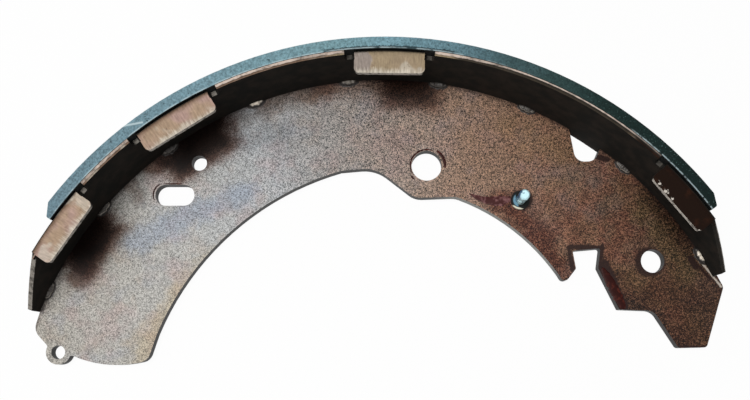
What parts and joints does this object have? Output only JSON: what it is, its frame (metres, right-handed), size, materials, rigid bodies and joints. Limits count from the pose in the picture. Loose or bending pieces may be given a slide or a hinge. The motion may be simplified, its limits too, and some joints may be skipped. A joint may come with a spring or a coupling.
{
  "type": "drum brake shoe",
  "caption": "Drum brake shoe: crescent steel web welded in a rolled table with folded tabs, bonded friction lining, and a riveted spring post.",
  "frame": {"origin": "on the lining's outer face at the middle of its arc, level with the table's back edge on which the shoe lies; the drum's axis is parallel to Z, 147.5 mm away along -Y", "axes": "+Z along the drum's axis, from the back edge to the edge with the folded tabs; +Y out of the drum through the lining's middle; +X to the toe end"},
  "size_m": [0.2636, 0.1171, 0.0305],
  "materials": {
    "web": "satin varnish over rolled steel",
    "table": "satin varnish over rolled steel",
    "lining": "matte ground friction material",
    "bond_film": "matte cured adhesive",
    "spring_post": "bright zinc plating",
    "weld_nibs": "bright weld metal"
  },
  "bodies": {
    "root": {"web": "web", "table": "table", "lining": "lining", "bond_film": "bond_film", "spring_post": "spring_post", "weld_nibs": "weld_nibs"}
  },
  "joints": []
}
